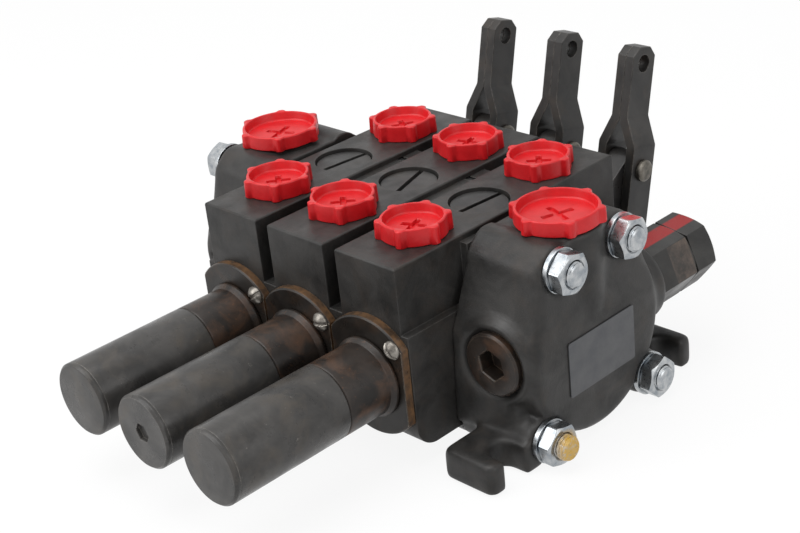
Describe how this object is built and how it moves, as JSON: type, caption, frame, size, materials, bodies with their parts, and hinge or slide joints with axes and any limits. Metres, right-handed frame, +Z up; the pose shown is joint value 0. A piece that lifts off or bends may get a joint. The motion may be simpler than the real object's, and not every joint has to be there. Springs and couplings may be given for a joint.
{
  "type": "manual directional control valve",
  "caption": "Sectional hydraulic control valve with hand lever forks, spring and detent housings, slotted check plugs, capped ports and footed end covers.",
  "frame": {"origin": "bottom centre of the bounding box, on the level of the feet", "axes": "+X along the stack towards the inlet cover and its nuts, +Y along the spools towards the levers, +Z up"},
  "size_m": [0.2472, 0.3006, 0.1378],
  "materials": {
    "black_iron": "black oxide cast iron, machined on top",
    "black_steel": "black oxide, satin",
    "oxide_steel": "grey oxide, satin, handled",
    "brown_steel": "brown oxide with light rust and oil",
    "lever_steel": "dark zinc phosphate",
    "grey_steel": "dull grey",
    "bright_steel": "ground",
    "spring_steel": "drawn wire",
    "zinc_steel": "blue zinc plate",
    "label_metal": "dark anodised plate, bare",
    "red_plastic": "moulded, satin gloss",
    "seal_rubber": "matte"
  },
  "bodies": {
    "valve_body": {"inlet_cover": "black_iron", "outlet_cover": "black_iron", "tie_bolts": "zinc_steel", "tie_nuts": "zinc_steel", "tie_washers": "zinc_steel", "front_plug": "brown_steel", "relief_body": "black_steel", "relief_cap": "black_steel", "relief_screw": "bright_steel", "label_plate": "label_metal", "spool_wipers": "seal_rubber", "section_seals": "seal_rubber", "flange_screws": "grey_steel", "bracket_screws": "grey_steel", "port_caps": "red_plastic", "main_port_caps": "red_plastic", "front_flanges": "brown_steel", "detent_cages": "bright_steel", "detent_balls": "bright_steel", "section_body_1": "black_iron", "check_plug_1": "black_steel", "check_spring_1": "spring_steel", "spring_sleeve_1": "brown_steel", "detent_cap_1": "oxide_steel", "lever_bracket_1": "black_steel", "section_body_2": "black_iron", "check_plug_2": "black_steel", "check_spring_2": "spring_steel", "spring_sleeve_2": "brown_steel", "detent_cap_2": "oxide_steel", "lever_bracket_2": "black_steel", "section_body_3": "black_iron", "check_plug_3": "black_steel", "check_spring_3": "spring_steel", "spring_sleeve_3": "brown_steel", "detent_cap_3": "oxide_steel", "lever_bracket_3": "black_steel"},
    "spool_1": {"spool_1": "bright_steel", "shoulder_screw_1": "bright_steel", "spring_seats_1": "bright_steel", "centring_spring_1": "spring_steel"},
    "lever_1": {"lever_plates_1": "lever_steel", "lever_pins_1": "grey_steel"},
    "check_poppet_1": {"check_poppet_1": "bright_steel"},
    "spool_2": {"spool_2": "bright_steel", "shoulder_screw_2": "bright_steel", "spring_seats_2": "bright_steel", "centring_spring_2": "spring_steel"},
    "lever_2": {"lever_plates_2": "lever_steel", "lever_pins_2": "grey_steel"},
    "check_poppet_2": {"check_poppet_2": "bright_steel"},
    "spool_3": {"spool_3": "bright_steel", "shoulder_screw_3": "bright_steel", "spring_seats_3": "bright_steel", "centring_spring_3": "spring_steel"},
    "lever_3": {"lever_plates_3": "lever_steel", "lever_pins_3": "grey_steel"},
    "check_poppet_3": {"check_poppet_3": "bright_steel"},
    "relief_poppet": {"relief_poppet": "bright_steel", "relief_spring": "spring_steel"}
  },
  "joints": [
    {"name": "lever_1_tilt", "type": "hinge", "parent": "valve_body", "child": "lever_1", "pos_m": [-0.04805, 0.12873, 0.077], "axis": [1, 0, 0], "range_deg": [-12, 12], "stiffness_Nm_per_rad": 4.6},
    {"name": "spool_1_slide", "type": "slide", "parent": "valve_body", "child": "spool_1", "axis": [0, 1, 0], "range_m": [-0.0072, 0.0072]},
    {"name": "check_1_lift", "type": "slide", "parent": "valve_body", "child": "check_poppet_1", "axis": [0, 0, 1], "range_m": [0, 0.004], "stiffness_N_per_m": 300, "springref_m": -0.004, "deforming": ["check_spring_1"]},
    {"name": "lever_2_tilt", "type": "hinge", "parent": "valve_body", "child": "lever_2", "pos_m": [-0.00205, 0.12873, 0.077], "axis": [1, 0, 0], "range_deg": [-12, 12], "stiffness_Nm_per_rad": 4.6},
    {"name": "spool_2_slide", "type": "slide", "parent": "valve_body", "child": "spool_2", "axis": [0, 1, 0], "range_m": [-0.0072, 0.0072]},
    {"name": "check_2_lift", "type": "slide", "parent": "valve_body", "child": "check_poppet_2", "axis": [0, 0, 1], "range_m": [0, 0.004], "stiffness_N_per_m": 300, "springref_m": -0.004, "deforming": ["check_spring_2"]},
    {"name": "lever_3_tilt", "type": "hinge", "parent": "valve_body", "child": "lever_3", "pos_m": [0.04395, 0.12873, 0.077], "axis": [1, 0, 0], "range_deg": [-12, 12], "stiffness_Nm_per_rad": 4.6},
    {"name": "spool_3_slide", "type": "slide", "parent": "valve_body", "child": "spool_3", "axis": [0, 1, 0], "range_m": [-0.0072, 0.0072]},
    {"name": "check_3_lift", "type": "slide", "parent": "valve_body", "child": "check_poppet_3", "axis": [0, 0, 1], "range_m": [0, 0.004], "stiffness_N_per_m": 300, "springref_m": -0.004, "deforming": ["check_spring_3"]},
    {"name": "relief_lift", "type": "slide", "parent": "valve_body", "child": "relief_poppet", "axis": [0, 1, 0], "range_m": [0, 0.002], "stiffness_N_per_m": 2000, "springref_m": -0.004}
  ],
  "couplings": [
    {"joint": "spool_1_slide", "follows": "lever_1_tilt", "m_per_rad": 0.034},
    {"joint": "spool_2_slide", "follows": "lever_2_tilt", "m_per_rad": 0.034},
    {"joint": "spool_3_slide", "follows": "lever_3_tilt", "m_per_rad": 0.034}
  ]
}
